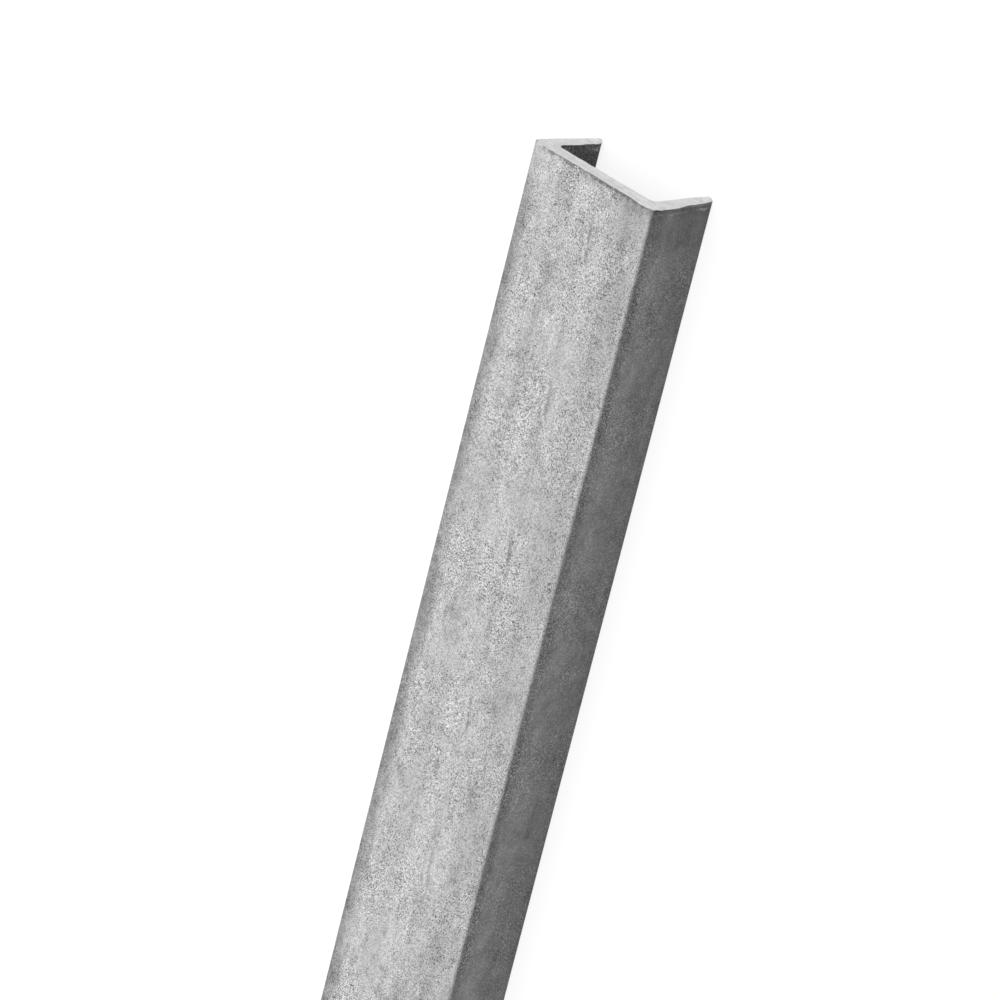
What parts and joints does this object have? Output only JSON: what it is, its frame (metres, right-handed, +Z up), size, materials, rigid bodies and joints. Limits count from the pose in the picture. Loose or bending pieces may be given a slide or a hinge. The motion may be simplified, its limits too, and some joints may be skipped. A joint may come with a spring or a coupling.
{
  "type": "u-channel",
  "caption": "Plain hot-rolled steel U-channel bar: a flat web and two equal flanges, cut square, with no holes, for frames, runners, edging and light supports.",
  "frame": {"origin": "under the middle of the bar, level with the toes of the flanges that it lies on", "axes": "+X along the bar, +Y across the web, +Z up, out of the back of the web"},
  "size_m": [0.9144, 0.0508, 0.0254],
  "materials": {
    "steel": "matte"
  },
  "bodies": {
    "root": {"channel": "steel"}
  },
  "joints": []
}
